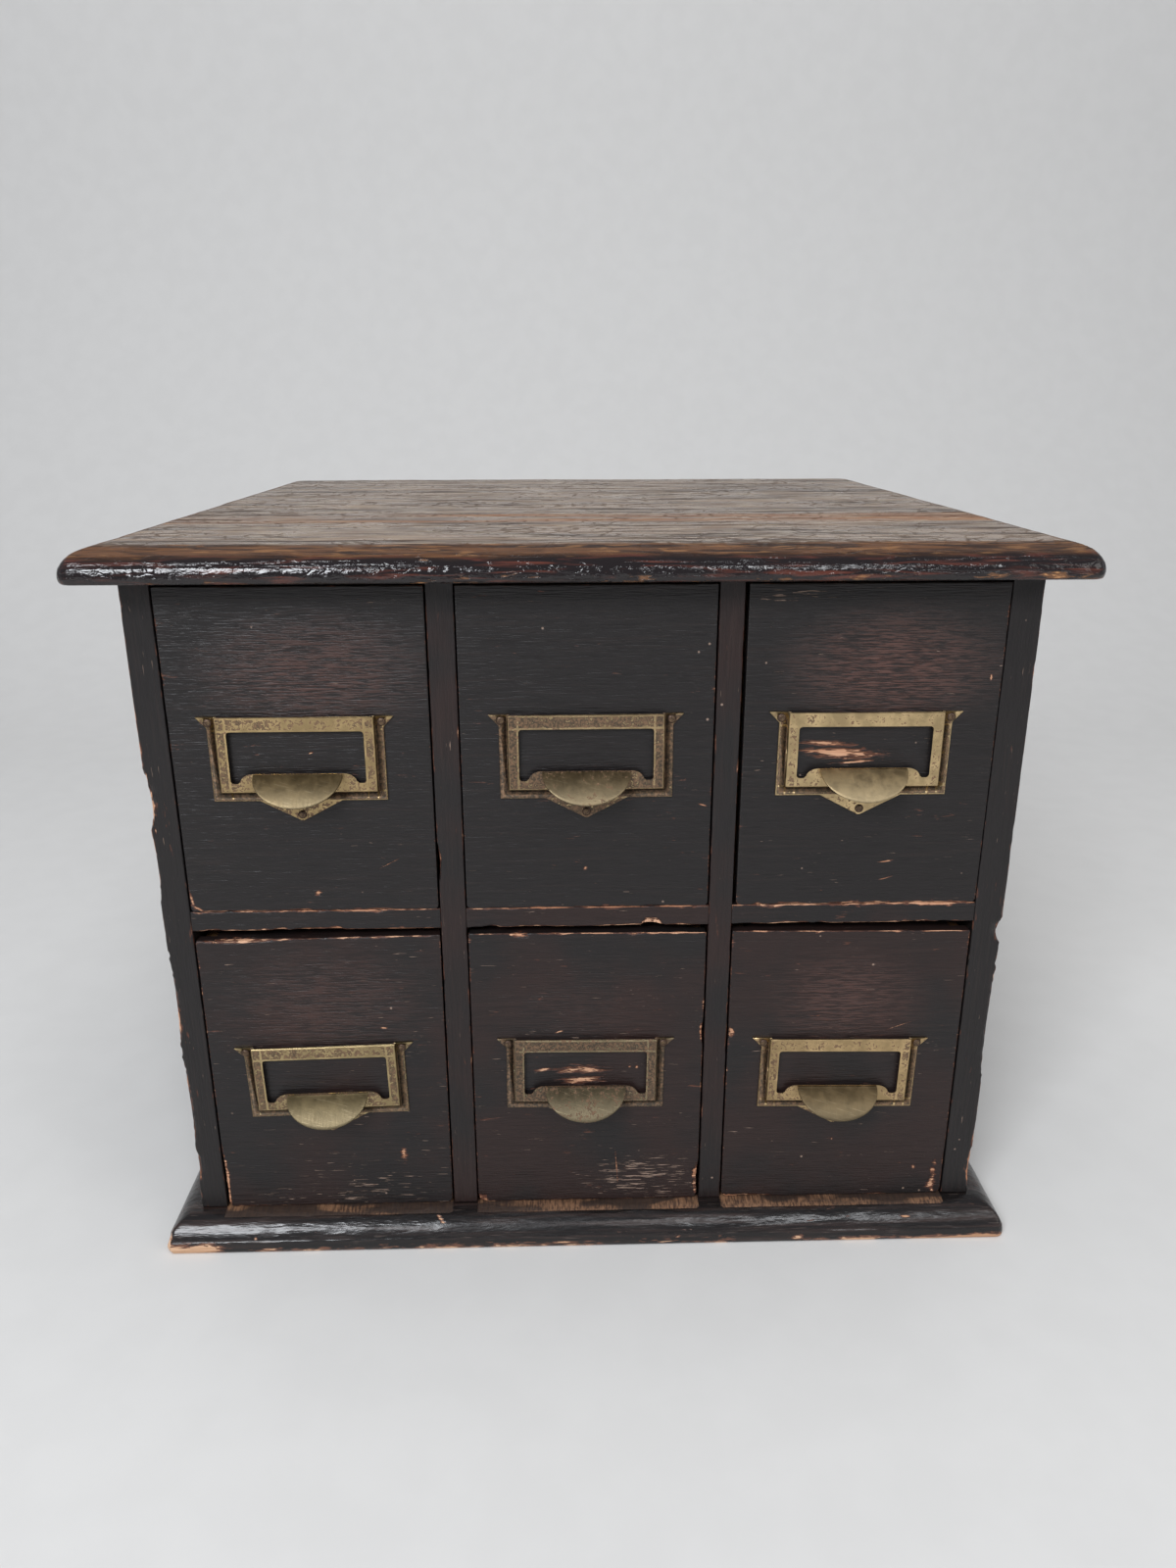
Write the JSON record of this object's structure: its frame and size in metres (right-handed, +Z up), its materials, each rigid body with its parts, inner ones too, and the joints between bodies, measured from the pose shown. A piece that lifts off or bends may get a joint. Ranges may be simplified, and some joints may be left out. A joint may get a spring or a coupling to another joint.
{
  "type": "apothecary cabinet",
  "caption": "Small wooden chest of plain drawers with stamped brass card-frame pulls, a moulded top board, thin uprights and a bullnosed base board.",
  "frame": {"origin": "middle of the underside, on the surface that the cabinet stands on", "axes": "+Z up, +Y from the drawer fronts to the back, +X to the right of someone facing the drawers"},
  "size_m": [0.438, 0.41, 0.356],
  "materials": {
    "top_wood": "worn brown-black varnish over wood",
    "base_wood": "glossy black varnish with chipped edges",
    "case_wood": "satin black stain, worn along the edges",
    "front_wood": "satin charcoal stain with fine grain and scratches",
    "drawer_wood": "bare aged softwood",
    "brass": "aged, with dark brown patina",
    "screw_metal": "darkened, slotted"
  },
  "bodies": {
    "case": {"top_plank_front": "top_wood", "top_plank_middle": "top_wood", "top_plank_rear": "top_wood", "base_board": "base_wood", "side_left": "case_wood", "side_right": "case_wood", "divider_left": "case_wood", "divider_right": "case_wood", "shelf_left": "case_wood", "shelf_centre": "case_wood", "shelf_right": "case_wood", "back_panel": "case_wood"},
    "upper_left_drawer": {"upper_left_drawer_front": "front_wood", "upper_left_drawer_side_left": "drawer_wood", "upper_left_drawer_side_right": "drawer_wood", "upper_left_drawer_back": "drawer_wood", "upper_left_drawer_bottom": "drawer_wood", "upper_left_pull": "brass", "upper_left_screw_left": "screw_metal", "upper_left_screw_right": "screw_metal"},
    "upper_centre_drawer": {"upper_centre_drawer_front": "front_wood", "upper_centre_drawer_side_left": "drawer_wood", "upper_centre_drawer_side_right": "drawer_wood", "upper_centre_drawer_back": "drawer_wood", "upper_centre_drawer_bottom": "drawer_wood", "upper_centre_pull": "brass", "upper_centre_screw_left": "screw_metal", "upper_centre_screw_right": "screw_metal"},
    "upper_right_drawer": {"upper_right_drawer_front": "front_wood", "upper_right_drawer_side_left": "drawer_wood", "upper_right_drawer_side_right": "drawer_wood", "upper_right_drawer_back": "drawer_wood", "upper_right_drawer_bottom": "drawer_wood", "upper_right_pull": "brass", "upper_right_screw_left": "screw_metal", "upper_right_screw_right": "screw_metal"},
    "lower_left_drawer": {"lower_left_drawer_front": "front_wood", "lower_left_drawer_side_left": "drawer_wood", "lower_left_drawer_side_right": "drawer_wood", "lower_left_drawer_back": "drawer_wood", "lower_left_drawer_bottom": "drawer_wood", "lower_left_pull": "brass", "lower_left_screw_left": "screw_metal", "lower_left_screw_right": "screw_metal"},
    "lower_centre_drawer": {"lower_centre_drawer_front": "front_wood", "lower_centre_drawer_side_left": "drawer_wood", "lower_centre_drawer_side_right": "drawer_wood", "lower_centre_drawer_back": "drawer_wood", "lower_centre_drawer_bottom": "drawer_wood", "lower_centre_pull": "brass", "lower_centre_screw_left": "screw_metal", "lower_centre_screw_right": "screw_metal"},
    "lower_right_drawer": {"lower_right_drawer_front": "front_wood", "lower_right_drawer_side_left": "drawer_wood", "lower_right_drawer_side_right": "drawer_wood", "lower_right_drawer_back": "drawer_wood", "lower_right_drawer_bottom": "drawer_wood", "lower_right_pull": "brass", "lower_right_screw_left": "screw_metal", "lower_right_screw_right": "screw_metal"}
  },
  "joints": [
    {"name": "upper_left_drawer_slide", "type": "slide", "parent": "case", "child": "upper_left_drawer", "axis": [0, -1, 0], "range_m": [0, 0.3]},
    {"name": "upper_centre_drawer_slide", "type": "slide", "parent": "case", "child": "upper_centre_drawer", "axis": [0, -1, 0], "range_m": [0, 0.3]},
    {"name": "upper_right_drawer_slide", "type": "slide", "parent": "case", "child": "upper_right_drawer", "axis": [0, -1, 0], "range_m": [0, 0.3]},
    {"name": "lower_left_drawer_slide", "type": "slide", "parent": "case", "child": "lower_left_drawer", "axis": [0, -1, 0], "range_m": [0, 0.3]},
    {"name": "lower_centre_drawer_slide", "type": "slide", "parent": "case", "child": "lower_centre_drawer", "axis": [0, -1, 0], "range_m": [0, 0.3]},
    {"name": "lower_right_drawer_slide", "type": "slide", "parent": "case", "child": "lower_right_drawer", "axis": [0, -1, 0], "range_m": [0, 0.3]}
  ]
}
